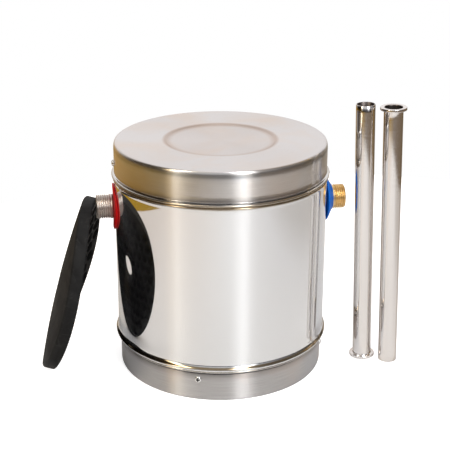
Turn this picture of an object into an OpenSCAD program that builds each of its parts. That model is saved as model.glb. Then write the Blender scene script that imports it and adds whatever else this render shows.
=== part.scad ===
// Magnetic system filter: an insulated stainless canister with a hot and a cold port,
// a lift-off top cover that carries the magnet rod, and its loose kit pieces.
// Origin: centre of the base's underside. +Z is up, the cold port looks along +X.

/* [Canister] */
// Outside diameter of the mirror jacket
jacket_d = 180; // [150:1:216]
// Height from the floor to the flat of the top cover
total_h = 199; // [165:1:240]
// Thickness of the jacket and cover sheet
sheet = 1.0; // [0.8:0.1:1.4]
// Height of the brushed top cover
lid_h = 25; // [20:1:30]
// Height of the brushed base cover
base_h = 24; // [20:1:30]
// How far the base cover lies inside the jacket's line, on the radius
base_inset = 1.6; // [1:0.1:3]
// Radius of the rolled edge of the top cover
lid_edge_r = 3; // [2:0.5:5]
// Radius of the rolled edge of the base cover
base_edge_r = 2.5; // [2:0.5:4]
// How far the rolled beads stand out of the jacket
bead_out = 2.2; // [1.5:0.1:3]
// Diameter of the shallow round pressed in the top cover
recess_d = 93; // [70:1:110]
// Depth of the round pressed in the top cover
recess_depth = 1.0; // [0.5:0.1:1.5]

/* [Ports] */
// Distance of the port axis below the top of the canister
port_drop = 55.6; // [45:0.1:65]
// Outside diameter of the half-inch pipe thread
thread_d = 20.955; // [20.955:0.001:21]
// Diameter of the water way in each nipple
nipple_bore_d = 15; // [12:0.5:16]
// How far the hot nipple stands out of the jacket
hot_out = 15.7; // [14:0.1:20]
// How far the cold nipple stands out of the jacket
cold_out = 17.2; // [16:0.1:24]
// Diameter of the red washer on the hot port
washer_d = 39; // [34:1:44]
// Thickness of the red washer
washer_t = 1.8; // [1.2:0.1:2.4]
// Diameter of the rim of the blue collar on the cold port
collar_d = 40; // [32:1:42]
// Length of the blue collar along the port
collar_len = 6; // [5.5:0.5:10]

/* [Vessel] */
// Radial room between the jacket's outside and the water vessel's outside
vessel_room = 14; // [13:0.5:20]
// Wall of the water vessel
vessel_t = 1.5; // [1:0.1:2]
// Thickness of the two flat ends of the vessel
end_t = 2; // [1.5:0.1:3]
// Diameter of the filter screen
screen_d = 60; // [50:1:70]
// Wall of the filter screen
screen_t = 1.2; // [0.8:0.1:1.6]

/* [Magnet] */
// Outside diameter of the dry magnet pocket
pocket_d = 28; // [26:1:34]
// Wall of the magnet pocket
pocket_t = 1.4; // [1:0.1:1.8]
// Most ring magnets on the rod, where the vessel is tall enough for them
most_magnets = 6; // [3:1:6]
// Height of one ring magnet
magnet_h = 13; // [10:0.5:13]
// Thickness of the steel pole ring between magnets
pole_h = 3; // [2:0.5:3]
// Diameter of the rod that carries the magnets
core_d = 8; // [6:0.5:9]

/* [Fasteners] */
// Shank diameter of the cover screws
screw_d = 3; // [2.5:0.1:4]
// Head diameter of the cover screws
screw_head_d = 5.5; // [5:0.1:7]
// Height of the domed screw heads
screw_head_h = 1.7; // [1.2:0.1:2]
// Turn of the first base screw from the front of the canister, in degrees
base_screw_turn = -19.5; // [-30:0.5:30]
// Turn of the first lid screw from the front of the canister, in degrees
lid_screw_turn = -88; // [-90:1:-80]

/* [Loose kit] */
// Diameter of the rubber disc
disc_d = 152; // [120:1:182]
// Thickness of the rubber disc
disc_t = 10; // [9:0.5:13]
// How far the two sides of the disc curl towards the canister
disc_curl = 13; // [8:0.5:16]
// How far the top and the bottom of the disc bend towards the canister
disc_bow = 3.5; // [2:0.5:5]
// Lean of the disc from upright, in degrees
disc_lean = 15.5; // [12:0.5:20]
// Turn of the disc's lean away from the port axis, in degrees
disc_turn = -7.5; // [-10:0.5:10]
// Diameter of the hole through the disc
disc_hole_d = 27; // [16:1:32]
// Diameter of the blind pockets in the disc
pocket_hole_d = 10.5; // [8:0.5:11]
// Distance between neighbouring pockets
pocket_pitch = 13; // [12:0.5:15]
// Depth of the blind pockets
pocket_depth = 5; // [3:0.5:6]
// Outside diameter of the flanged tubes
tube_d = 16; // [14:0.5:18]
// Wall of the flanged tubes
tube_t = 0.8; // [0.6:0.1:1.2]
// Length of the flanged tubes
tube_len = 230; // [180:0.5:280]
// Diameter of the tube flange
flange_d = 22; // [20:0.5:25]
// Thickness of the tube flange
flange_t = 2.4; // [1.6:0.1:3]
// Lean of the standing tubes towards the canister, in degrees
tube_lean = 1.7; // [0:0.1:3]
// Distance of the first tube's foot from the canister's jacket
tube_a_gap = 34.5; // [30:0.5:60]
// Distance between the feet of the two tubes, along X
tube_step = 20.5; // [20.5:0.5:40]
// Distance of the first tube's foot in front of the port axis
tube_a_front = 22; // [0:1:60]
// How much further forward the second tube stands
tube_b_front = 11; // [0:1:20]

/* [Hidden] */
$fn = 96;

// Named clearances
fit = 0.2;          // sheet over sheet, and screws in their holes
soft_gap = 0.3;     // foam and rubber from what they lie against
slide_gap = 0.6;    // magnets in their pocket, on the radius
core_gap = 0.05;    // rings on the rod, on the radius
cut = 1;            // how far a cutting shape runs past the face it cuts

// Levels and radii of the canister
jacket_r = jacket_d / 2;
lid_r = jacket_r;
base_r = jacket_r - base_inset;
lid_low = total_h - lid_h;
port_z = total_h - port_drop;
thread_r = thread_d / 2;

// Lower end of the jacket: a skirt inside the base cover, then the lower bead
skirt_r = base_r - sheet - fit;
skirt_low = base_h / 2;
bead_half = 2.6;
low_bead_z = base_h + 5;
flare_h = 4;
lip_h = 2.4;

// Upper end of the jacket: the upper bead, a neck, then a collar inside the top cover
high_bead_half = 2;
high_bead_z = lid_low - 3.8;
collar_r = lid_r - sheet - 2 * fit;
seal_h = 3;
collar_top = total_h - sheet - seal_h;

// Screws
screw_grip = 4.4;
base_screw_z = base_h - 5;
lid_screw_z = lid_low + 8.5;
screw_inner_gap = 0.5;
base_screw_count = 4;
lid_screw_count = 2;

// Vessel and insulation
vessel_r = jacket_r - vessel_room;
vessel_low = base_h;
vessel_high = lid_low - 6;
shell_low = vessel_low + end_t;
shell_high = vessel_high - end_t;
weld_lip = 1;
foam_r = base_r - screw_grip - screw_inner_gap;
sleeve_r = skirt_r - sheet - soft_gap;
foam_in_r = vessel_r + weld_lip + soft_gap;
roof_foam_top = lid_low + 16;

// Magnet pocket and what slides in it
pocket_r = pocket_d / 2;
pocket_in_r = pocket_r - pocket_t;
pocket_flange_r = pocket_r + 6;
pocket_flange_t = 2;
magnet_r = pocket_in_r - slide_gap;
core_r = core_d / 2;
pocket_floor_gap = 10;  // least room under the pocket
nut_h = 6.5;
nut_af = 13;
core_end = 2;           // rod below its nut
core_room = 6;          // pocket below the rod
stack_top = shell_high - 6;
stack_room = stack_top - nut_h - core_end - core_room - shell_low - pocket_floor_gap;
magnet_count = min(most_magnets, floor((stack_room - pole_h) / (magnet_h + pole_h)));
stack_h = magnet_count * magnet_h + (magnet_count + 1) * pole_h;
stack_low = stack_top - stack_h;
core_low = stack_low - nut_h - core_end;
pocket_low = core_low - core_room;
carrier_t = 2;
carrier_r = recess_d / 2 - 6;
carrier_top = total_h - recess_depth - sheet;
carrier_low = carrier_top - carrier_t;
spacer_r = core_r + 3;

// Filter screen
screen_r = screen_d / 2;
cap_t = 4;
cap_lip = 1.5;
screen_low = shell_low + cap_t;
screen_high = min(port_z + 16, shell_high - cap_t - 2);

// Ports
boss_r = 15;
boss_out = 8;
hot_tip = jacket_r + hot_out;
cold_tip = jacket_r + cold_out;
nipple_in = vessel_r - vessel_t - 2;
thread_chamfer = 0.8;
thread_fit = 0.08;
thread_gap = 0.6;       // thread from the washer or collar
shank_step = 0.4;       // shank under the thread, on the radius
shank_r = thread_r - shank_step;
port_foot = jacket_r + 0.1;  // where the washer and the collar sit
port_hole_r = thread_r + fit;
inlet_r = nipple_bore_d / 2 + 1.7;
inlet_t = 1.2;
collar_rim_t = 1.2;
collar_nose_r = thread_r + 1.2;

// Slots of the filter screen, below the band that takes the inlet tube
slot_w = 3;
slot_count = 16;
slot_rows = 2;
slot_gap = 6;
slot_h = (port_z - inlet_r - screen_low) / slot_rows - 1.5 * slot_gap;

// Drain in the vessel's floor
drain_r = 8;
drain_boss_r = 13;
drain_boss_h = 8;
drain_head_h = 5;
drain_head_af = 19;
drain_seal_t = 1;
drain_room_r = drain_boss_r + 2;

// Loose pieces
disc_r = disc_d / 2;
curl_r = disc_r * disc_r / (2 * disc_curl);
bow_r = disc_r * disc_r / (2 * disc_bow);
bow_span = 2 * asin(1.1 * disc_r / bow_r);
disc_rise = disc_r * cos(disc_lean) + (disc_bow + disc_t / 2) * sin(disc_lean);
disc_reach = disc_r * sin(disc_lean) + (disc_bow + disc_t / 2) * cos(disc_lean);
disc_over = max(0, 2 * disc_r * cos(disc_lean) - port_z - thread_r);
disc_stand = soft_gap + thread_r * (disc_over > 0 ? 0.02 : abs(sin(disc_turn)));
disc_x = -hot_tip - disc_stand + disc_over * tan(disc_lean) - disc_reach * cos(disc_turn);
pocket_rim = 7;
pocket_rows = ceil(disc_r / (pocket_pitch * sin(60)));
tube_r = tube_d / 2;
flange_r = flange_d / 2;
flange_edge = 0.6;
tube_a_x = jacket_r + tube_a_gap;
tube_b_x = tube_a_x + tube_step;
tube_turn = -7.5;

// Points of a half-round bulge on a wall of radius r, centred at height z
function bulge(r, z, out, half) = [for (a = [-90 : 15 : 90]) [r + out * cos(a), z + half * sin(a)]];
// Points of a quarter round of radius e, ending at radius r and height z
function corner(r, z, e, from) = [for (a = [0 : 15 : 90]) [r - e + e * cos(from + a), z + e * sin(from + a)]];
// The same outline, moved in by t on the radius
function inward(points, t) = [for (i = [len(points) - 1 : -1 : 0]) [points[i][0] - t, points[i][1]]];

// A ring or disc between two heights
module ring(r_out, r_in, z_low, z_high) {
  difference() {
    translate([0, 0, z_low]) cylinder(r = r_out, h = z_high - z_low);
    if (r_in > 0) translate([0, 0, z_low - cut]) cylinder(r = r_in, h = z_high - z_low + 2 * cut);
  }
}

// Puts its children's +Z along +X (side = 1) or along -X (side = -1), at the port's height
module at_port(side) {
  translate([0, 0, port_z]) rotate([0, side * 90, 0]) children();
}

// A cutting cylinder along a port, from the axis outwards
module port_cut(side, r) {
  at_port(side) cylinder(r = r, h = jacket_r * 1.5);
}

// Copies its children around the canister, each facing outwards, the first at turn from the front
module around(count, turn, z) {
  for (i = [0 : count - 1])
    rotate([0, 0, turn + i * 360 / count]) translate([0, 0, z]) rotate([90, 0, 0]) children();
}

// One cross-recess screw with its head on a wall of radius r
module screw(r) {
  cross_w = 0.8;
  cross_l = 3;
  cross_depth = 0.9;
  difference() {
    union() {
      translate([0, 0, r - screw_grip]) cylinder(d = screw_d, h = screw_grip + cut);
      translate([0, 0, r + 0.02]) cylinder(d = screw_head_d, h = screw_head_h / 2);
      translate([0, 0, r + 0.02 + screw_head_h / 2])
        cylinder(d1 = screw_head_d, d2 = screw_head_d * 0.6, h = screw_head_h / 2);
    }
    for (a = [0, 90])
      rotate([0, 0, a]) translate([-cross_l / 2, -cross_w / 2, r + screw_head_h - cross_depth])
        cube([cross_l, cross_w, cross_depth + cut]);
  }
}

// Mirror-polished outer shell with two rolled beads
module jacket() {
  outside = concat(
    [[skirt_r, skirt_low], [skirt_r, low_bead_z - lip_h - 1]],
    [[base_r + 0.6, low_bead_z - lip_h]],
    [for (a = [-60 : 15 : 60])
      [jacket_r - 0.2 + (bead_out + 0.2) * cos(a), low_bead_z + lip_h * sin(a) * 0.7]],
    [[jacket_r + 0.3, low_bead_z + flare_h - 1], [jacket_r, low_bead_z + flare_h]],
    bulge(jacket_r, high_bead_z, bead_out - 0.3, high_bead_half),
    [[collar_r, high_bead_z + high_bead_half + 0.8], [collar_r, collar_top]]
  );
  color("gainsboro") difference() {
    rotate_extrude() polygon(concat(outside, inward(outside, sheet)));
    for (side = [-1, 1]) port_cut(side, port_hole_r);
    around(base_screw_count, base_screw_turn, base_screw_z)
      cylinder(r = screw_d / 2 + fit, h = jacket_r + cut);
    around(lid_screw_count, lid_screw_turn, lid_screw_z) {
      cylinder(r = screw_d / 2 + fit, h = jacket_r + cut);
      translate([-screw_d / 2 - fit, 0, 0]) cube([screw_d + 2 * fit, total_h, jacket_r + cut]);
    }
  }
}

// Brushed cup that closes the bottom
module base_cover() {
  outside = concat([[0, 0]], corner(base_r, base_edge_r, base_edge_r, -90), [[base_r, base_h]]);
  inside = concat([[base_r - sheet, base_h]],
    [for (a = [0 : -15 : -90]) [base_r - base_edge_r + (base_edge_r - sheet) * cos(a),
                                base_edge_r + (base_edge_r - sheet) * sin(a)]], [[0, sheet]]);
  color("silver") difference() {
    rotate_extrude() polygon(concat(outside, inside));
    around(base_screw_count, base_screw_turn, base_screw_z) cylinder(r = screw_d / 2 + fit, h = jacket_r);
  }
}

// Four screws through the base cover into the jacket's skirt
module base_cover_screws() {
  color("silver") around(base_screw_count, base_screw_turn, base_screw_z) screw(base_r);
}

// Rolled and welded wall of the water vessel
module vessel_shell() {
  color("lightgray") difference() {
    ring(vessel_r, vessel_r - vessel_t, shell_low, shell_high);
    for (side = [-1, 1]) port_cut(side, port_hole_r);
  }
}

// Lower end of the vessel, welded under the shell
module vessel_floor() {
  color("lightgray") ring(vessel_r + weld_lip, drain_r + thread_fit, vessel_low, shell_low);
}

// Upper end of the vessel, welded on the shell
module vessel_roof() {
  color("lightgray") ring(vessel_r + weld_lip, pocket_r + fit, shell_high, vessel_high);
}

// Foam sleeve around the vessel
module insulation_sleeve() {
  color("khaki") difference() {
    ring(sleeve_r, foam_in_r, vessel_low, vessel_high);
    for (side = [-1, 1]) port_cut(side, boss_r + soft_gap);
  }
}

// Foam pad between the base cover and the vessel
module insulation_floor() {
  color("khaki") ring(foam_r, drain_room_r, sheet, vessel_low);
}

// Foam pad between the vessel and the top cover
module insulation_roof() {
  color("khaki") ring(foam_r, pocket_flange_r + soft_gap, vessel_high, roof_foam_top);
}

// Dry pocket that hangs in the water and takes the magnets
module magnet_pocket() {
  color("lightgray") difference() {
    union() {
      translate([0, 0, pocket_low]) cylinder(r = pocket_r, h = vessel_high + cut - pocket_low);
      translate([0, 0, vessel_high]) cylinder(r = pocket_flange_r, h = pocket_flange_t);
    }
    translate([0, 0, pocket_low + pocket_t]) cylinder(r = pocket_in_r, h = total_h);
  }
}

// Cylinder around the magnet pocket, slotted below the band that takes the inlet tube
module filter_screen() {
  color("darkgray") difference() {
    ring(screen_r, screen_r - screen_t, screen_low, screen_high);
    port_cut(-1, inlet_r + fit);
    for (row = [0 : slot_rows - 1], i = [0 : slot_count - 1])
      rotate([0, 0, (i + 0.5) * 360 / slot_count])
        translate([0, -slot_w / 2, screen_low + slot_gap + row * (slot_h + slot_gap)])
          cube([screen_r + cut, slot_w, slot_h]);
  }
}

// Ring that closes the screen around the pocket
module screen_cap_upper() {
  color("darkgray") ring(screen_r + cap_lip, pocket_r + fit, screen_high, screen_high + cap_t);
}

// Ring that seats the screen on the vessel's floor
module screen_cap_lower() {
  color("darkgray") ring(screen_r + cap_lip, drain_boss_r, shell_low, screen_low);
}

// Tube that leads the water from the hot port into the screen
module inlet_tube() {
  color("lightgray") at_port(-1) ring(inlet_r, inlet_r - inlet_t, screen_r - 4, nipple_in);
}

// Welded boss on the outside of the vessel wall
module port_boss(side) {
  color("gray") difference() {
    at_port(side) ring(boss_r, shank_r + thread_fit, vessel_r / 2, vessel_r + boss_out);
    cylinder(r = vessel_r, h = total_h);
  }
}
module hot_boss() port_boss(-1);
module cold_boss() port_boss(1);

// Rubber ring between the boss and the jacket
module port_seal(side) {
  seal_wall = 3;
  color("dimgray") difference() {
    at_port(side) ring(shank_r + soft_gap + seal_wall, shank_r + soft_gap, vessel_r + boss_out, jacket_r);
    difference() {
      cylinder(r = jacket_r * 2, h = total_h, $fn = 240);
      cylinder(r = jacket_r - sheet - soft_gap, h = total_h, $fn = 240);
    }
  }
}
module hot_seal() port_seal(-1);
module cold_seal() port_seal(1);

// Half-inch male nipple: a plain shank to just past foot, then a thread drawn at full diameter
module nipple(side, foot, tip) {
  start = foot + thread_gap;
  at_port(side) rotate_extrude() polygon([
    [nipple_bore_d / 2, nipple_in], [shank_r, nipple_in], [shank_r, start - shank_step],
    [thread_r, start], [thread_r, tip - thread_chamfer],
    [thread_r - thread_chamfer, tip], [nipple_bore_d / 2, tip]
  ]);
}
module hot_nipple() color("lightgray") nipple(-1, port_foot + washer_t, hot_tip);
module cold_nipple() color("goldenrod") nipple(1, port_foot + collar_len, cold_tip);

// Red washer that hugs the round of the jacket
module hot_washer() {
  color("red") difference() {
    intersection() {
      at_port(-1) cylinder(d = washer_d, h = jacket_r + 2 * washer_t);
      cylinder(r = port_foot + washer_t, h = total_h);
    }
    cylinder(r = port_foot, h = total_h);
    port_cut(-1, thread_r + fit);
  }
}

// Blue cone-shaped collar, its wide rim towards the jacket
module cold_collar() {
  rim_r = collar_d / 2;
  foot = port_foot;
  color("royalblue") at_port(1) rotate_extrude() polygon([
    [thread_r + fit, foot], [rim_r - 0.4, foot], [rim_r, foot + 0.4],
    [rim_r, foot + collar_rim_t], [collar_nose_r + 0.4, foot + collar_len - 0.6],
    [collar_nose_r, foot + collar_len], [thread_r + fit, foot + collar_len]
  ]);
}

// Threaded boss under the vessel's floor
module drain_boss() {
  color("gray") ring(drain_boss_r, drain_r + thread_fit, vessel_low - drain_boss_h, vessel_low);
}

// Flat seal of the drain plug
module drain_seal() {
  color("dimgray") ring(drain_boss_r, drain_r + soft_gap, vessel_low - drain_boss_h - drain_seal_t,
    vessel_low - drain_boss_h);
}

// Hexagon drain plug, reached with the base cover off
module drain_plug() {
  head_top = vessel_low - drain_boss_h - drain_seal_t;
  color("goldenrod") union() {
    translate([0, 0, head_top - drain_head_h])
      cylinder(d = drain_head_af / cos(30), h = drain_head_h, $fn = 6);
    translate([0, 0, head_top - cut]) cylinder(r = drain_r, h = shell_low - head_top + cut);
  }
}

// Brushed top cover with its pressed round
module top_cover() {
  step_w = 1.4;
  recess_r = recess_d / 2;
  outside = concat(
    [[0, total_h - recess_depth], [recess_r - step_w, total_h - recess_depth], [recess_r, total_h]],
    [for (a = [90 : -15 : 0])
      [lid_r - lid_edge_r + lid_edge_r * cos(a), total_h - lid_edge_r + lid_edge_r * sin(a)]],
    [[lid_r, lid_low]]);
  in_r = lid_edge_r - sheet;
  inside = concat([[lid_r - sheet, lid_low]],
    [for (a = [0 : 15 : 90]) [lid_r - lid_edge_r + in_r * cos(a), total_h - lid_edge_r + in_r * sin(a)]],
    [[recess_r + 0.4, total_h - sheet], [recess_r - step_w + 0.4, total_h - recess_depth - sheet],
     [0, total_h - recess_depth - sheet]]);
  color("silver") difference() {
    rotate_extrude() polygon(concat(outside, inside));
    around(lid_screw_count, lid_screw_turn, lid_screw_z) cylinder(r = screw_d / 2 + fit, h = jacket_r * 1.2);
  }
}

// Two screws through the skirt of the top cover
module top_cover_screws() {
  color("silver") around(lid_screw_count, lid_screw_turn, lid_screw_z) screw(lid_r);
}

// Rubber ring under the top cover, resting on the jacket's collar
module cover_seal() {
  seal_w = 4;
  color("dimgray") rotate_extrude() polygon([
    [collar_r - seal_w, collar_top], [collar_r, collar_top], [collar_r, total_h - lid_edge_r],
    [lid_r - lid_edge_r, total_h - sheet], [collar_r - seal_w, total_h - sheet]
  ]);
}

// Steel plate spot-welded under the pressed round, holding the magnet rod
module magnet_carrier() {
  color("gray") ring(carrier_r, core_r + core_gap, carrier_low, carrier_top);
}

// Rod through the magnets
module magnet_core() {
  color("lightgray") translate([0, 0, core_low]) cylinder(r = core_r, h = carrier_top - core_low);
}

// Sleeve that holds the magnets down from the carrier
module magnet_spacer() {
  color("lightgray") ring(spacer_r, core_r + core_gap, stack_top, carrier_low);
}

// Ring magnets of the stack
module magnet_rings() {
  color("dimgray") for (i = [0 : magnet_count - 1])
    ring(magnet_r, core_r + core_gap, stack_low + pole_h + i * (magnet_h + pole_h),
      stack_low + (i + 1) * (magnet_h + pole_h));
}

// Steel pole rings above, below and between the magnets
module pole_rings() {
  color("gray") for (i = [0 : magnet_count])
    ring(magnet_r, core_r + core_gap, stack_low + i * (magnet_h + pole_h),
      stack_low + i * (magnet_h + pole_h) + pole_h);
}

// Nut that closes the stack at the bottom of the rod
module magnet_end_nut() {
  color("silver") difference() {
    translate([0, 0, stack_low - nut_h]) cylinder(d = nut_af / cos(30), h = nut_h, $fn = 6);
    translate([0, 0, stack_low - nut_h - cut]) cylinder(r = core_r + core_gap, h = nut_h + 2 * cut);
  }
}

// Section across the disc's upright middle line, bent to the curl of its two sides
module curled_section() {
  intersection() {
    translate([bow_r - disc_curl * 1.5 - disc_t, -disc_r * 1.1])
      square([disc_curl * 1.5 + disc_t * 2, disc_r * 2.2]);
    translate([bow_r - curl_r, 0]) difference() {
      circle(r = curl_r + disc_t / 2, $fn = 600);
      circle(r = curl_r - disc_t / 2, $fn = 600);
    }
  }
}

// Curled rubber disc with blind pockets, lying flat in its own frame with the pockets up
module flat_disc() {
  difference() {
    intersection() {
      translate([0, 0, -disc_t]) cylinder(r = disc_r, h = disc_t * 2 + disc_curl);
      translate([0, 0, bow_r]) rotate([90, 0, 0]) rotate([0, 0, 270 - bow_span / 2])
        rotate_extrude(angle = bow_span, $fn = 2000) curled_section();
    }
    translate([0, 0, -disc_t]) cylinder(d = disc_hole_d, h = disc_t * 3);
    for (row = [-pocket_rows : pocket_rows], i = [-pocket_rows - 1 : pocket_rows + 1]) {
      px = row * pocket_pitch * sin(60);
      py = (i + (row % 2 == 0 ? 0 : 0.5)) * pocket_pitch;
      from_centre = norm([px, py]);
      lift = curl_r - sqrt(curl_r * curl_r - py * py) + bow_r - sqrt(bow_r * bow_r - px * px);
      if (from_centre < disc_r - pocket_rim && from_centre > disc_hole_d / 2 + pocket_rim)
        translate([px, py, lift + disc_t / 2 - pocket_depth])
          cylinder(d = pocket_hole_d, h = pocket_depth + disc_curl, $fn = 32);
    }
  }
}
module rubber_disc() {
  color([0.12, 0.12, 0.12])
    translate([disc_x, -disc_reach * sin(disc_turn), disc_rise])
      rotate([0, 0, disc_turn]) rotate([0, 90 + disc_lean, 0]) flat_disc();
}

// A tube with a flange at its lower end, standing on the floor in its own frame
module plain_tube() {
  rotate_extrude() polygon([
    [tube_r - tube_t, flange_edge], [tube_r - tube_t + flange_edge, 0], [flange_r - flange_edge, 0],
    [flange_r, flange_edge], [flange_r, flange_t - flange_edge], [flange_r - flange_edge, flange_t],
    [tube_r, flange_t], [tube_r, tube_len], [tube_r - tube_t, tube_len]
  ]);
}

// Stands its child on the floor at x and y, leaning towards the canister, with a foot of radius r
module standing(x, y, r) {
  translate([x, y, r * sin(tube_lean)]) rotate([0, 0, tube_turn]) rotate([0, -tube_lean, 0]) children();
}
module flanged_tube_a() {
  color("silver") standing(tube_a_x, -tube_a_front, flange_r - flange_edge) plain_tube();
}
module flanged_tube_b() {
  color("silver") standing(tube_b_x, -tube_a_front - tube_b_front, tube_r)
    translate([0, 0, tube_len]) rotate([180, 0, 0]) plain_tube();
}

jacket();
base_cover();
base_cover_screws();
vessel_shell();
vessel_floor();
vessel_roof();
insulation_sleeve();
insulation_floor();
insulation_roof();
magnet_pocket();
filter_screen();
screen_cap_upper();
screen_cap_lower();
inlet_tube();
hot_boss();
cold_boss();
hot_seal();
cold_seal();
hot_nipple();
cold_nipple();
hot_washer();
cold_collar();
drain_boss();
drain_seal();
drain_plug();
top_cover();
top_cover_screws();
cover_seal();
magnet_carrier();
magnet_core();
magnet_spacer();
magnet_rings();
pole_rings();
magnet_end_nut();
rubber_disc();
flanged_tube_a();
flanged_tube_b();
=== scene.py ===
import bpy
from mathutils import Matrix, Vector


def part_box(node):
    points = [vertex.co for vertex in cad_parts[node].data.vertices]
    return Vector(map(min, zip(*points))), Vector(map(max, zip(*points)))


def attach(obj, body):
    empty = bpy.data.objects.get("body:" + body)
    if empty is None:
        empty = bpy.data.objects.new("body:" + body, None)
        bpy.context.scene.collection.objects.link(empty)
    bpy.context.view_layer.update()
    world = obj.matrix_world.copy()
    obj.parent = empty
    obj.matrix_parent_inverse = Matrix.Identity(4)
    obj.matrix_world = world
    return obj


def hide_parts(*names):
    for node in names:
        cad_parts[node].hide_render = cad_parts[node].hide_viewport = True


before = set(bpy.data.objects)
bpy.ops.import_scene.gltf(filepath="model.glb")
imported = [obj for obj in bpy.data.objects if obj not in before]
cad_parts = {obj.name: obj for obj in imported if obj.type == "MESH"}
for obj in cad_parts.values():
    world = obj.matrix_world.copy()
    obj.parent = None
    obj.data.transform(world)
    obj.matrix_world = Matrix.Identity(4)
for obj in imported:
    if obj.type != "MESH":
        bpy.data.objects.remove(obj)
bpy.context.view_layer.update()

import math
import bpy
import bmesh
from mathutils import Matrix, Vector
from mathutils.geometry import delaunay_2d_cdt

MM = 0.001


# ---------------------------------------------------------------- studio
# The camera stands in front of the canister, a little towards the hot port, and looks
# down on it. The canister stands on a white table. Around it is a room of pale, dark and
# gold bands over a timber floor, which the camera doesn't see and the metal mirrors.
CAMERA_TURN = math.radians(-7.5)
CAMERA_AWAY = 0.8918
CAMERA_HEIGHT = 0.4648
CAMERA_DIP = math.radians(21.05)
SENSOR_MM = 36.0
LENS_MM = 88.704
LENS_SHIFT = 0.01


def place_camera():
    data = bpy.data.cameras.new("camera")
    data.sensor_width = SENSOR_MM
    data.lens = LENS_MM
    data.shift_x = LENS_SHIFT
    data.clip_end = 50
    camera = bpy.data.objects.new("camera", data)
    bpy.context.scene.collection.objects.link(camera)
    camera.location = (
        math.sin(CAMERA_TURN) * CAMERA_AWAY, -math.cos(CAMERA_TURN) * CAMERA_AWAY, CAMERA_HEIGHT)
    camera.rotation_euler = (math.pi / 2 - CAMERA_DIP, 0, CAMERA_TURN)
    bpy.context.scene.camera = camera


def feed(tree, socket, value):
    """Gives an input a value, or links it to another node's output."""
    if isinstance(value, bpy.types.NodeSocket):
        tree.links.new(value, socket)
    else:
        socket.default_value = value


def set_inputs(tree, made, **settings):
    """Sets a node's inputs, given by name with _ for a space, or its properties."""
    for key, value in settings.items():
        socket = made.inputs.get(key.replace("_", " "))
        if socket is None:
            setattr(made, key, value)
        else:
            feed(tree, socket, value)


def node(tree, kind, *values, **settings):
    """Adds a node with its inputs and properties by name, and then its first inputs in order."""
    made = tree.nodes.new(kind)
    set_inputs(tree, made, **settings)
    for socket, value in zip(made.inputs, values):
        feed(tree, socket, value)
    return made


def new_material(name, **settings):
    """A material, its node tree, and its Principled shader with some inputs set."""
    material = bpy.data.materials.new(name)
    material.use_nodes = True
    tree = material.node_tree
    shader = tree.nodes["Principled BSDF"]
    set_inputs(tree, shader, **settings)
    return material, tree, shader


def show(tree, made):
    """Makes a shader node the one that the surface shows."""
    tree.links.new(made.outputs[0], tree.nodes["Material Output"].inputs["Surface"])


def ramp(tree, source, stops):
    """The output of a colour ramp fed by source, with stops of (position, colour or grey)."""
    made = node(tree, "ShaderNodeValToRGB", Fac=source)
    elements = made.color_ramp.elements
    while len(elements) < len(stops):
        elements.new(0.5)
    for element, (position, colour) in zip(elements, stops):
        element.position = position
        element.color = (*colour, 1) if isinstance(colour, tuple) else (colour, colour, colour, 1)
    return made.outputs[0]


def maths(tree, operation, *values):
    """The output of a maths node on numbers or other outputs."""
    return node(tree, "ShaderNodeMath", *values, operation=operation).outputs[0]


def mix_colours(tree, share, first, second, how="MIX"):
    """The output of a mix of two colours."""
    return node(tree, "ShaderNodeMix", data_type="RGBA", blend_type=how, Factor=share,
                A=first, B=second).outputs["Result"]


def object_place(tree):
    """The place of a point on a piece."""
    return tree.nodes.new("ShaderNodeTexCoord").outputs["Object"]


def split_up(tree, place):
    """The X, Y and Z of a place."""
    return node(tree, "ShaderNodeSeparateXYZ", place).outputs


def circle_points(x, y, radius, count):
    """Evenly spaced points on a circle about (x, y)."""
    return [(x + radius * math.cos(2 * math.pi * i / count), y + radius * math.sin(2 * math.pi * i / count))
            for i in range(count)]


def mesh_object(name, bm, material, smooth=True):
    """Turns a bmesh into a linked object with one material."""
    mesh = bpy.data.meshes.new(name)
    bmesh.ops.recalc_face_normals(bm, faces=bm.faces)
    bm.to_mesh(mesh)
    bm.free()
    for polygon in mesh.polygons:
        polygon.use_smooth = smooth
    made = bpy.data.objects.new(name, mesh)
    bpy.context.scene.collection.objects.link(made)
    mesh.materials.append(material)
    return made


def table_material():
    """White paper with painted light and shade: creamy towards the left and greyer towards the right."""
    material, tree, shader = new_material("table_white", Roughness=0.6, Specular_IOR_Level=0.2)
    side = split_up(tree, object_place(tree))["X"]
    across = node(tree, "ShaderNodeMapRange", Value=side, From_Min=-0.45, From_Max=0.45)
    # Painted light and shade: the paper goes from a warm cream on the left to a darker grey on the right.
    set_inputs(tree, shader, Base_Color=ramp(tree, across.outputs[0], [
        (0.0, (0.78, 0.72, 0.68)), (0.3, (0.82, 0.79, 0.77)), (0.5, (0.86, 0.86, 0.865)),
        (0.7, (0.80, 0.795, 0.80)), (0.85, (0.76, 0.755, 0.765)), (1.0, (0.62, 0.60, 0.59))]))
    glow = node(tree, "ShaderNodeEmission", Color=(1, 1, 1, 1), Strength=0.78)
    both = node(tree, "ShaderNodeAddShader", shader.outputs[0], glow.outputs[0])
    path = tree.nodes.new("ShaderNodeLightPath")
    mix = node(tree, "ShaderNodeMixShader", path.outputs["Is Camera Ray"], shader.outputs[0], both.outputs[0])
    show(tree, mix)
    return material


def table_top(name, middle, radius, material):
    """A round flat sheet facing up at the height of the floor."""
    bm = bmesh.new()
    bm.faces.new([bm.verts.new((x, y, 0)) for x, y in circle_points(*middle, radius, 180)])
    return mesh_object(name, bm, material, smooth=False)


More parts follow.
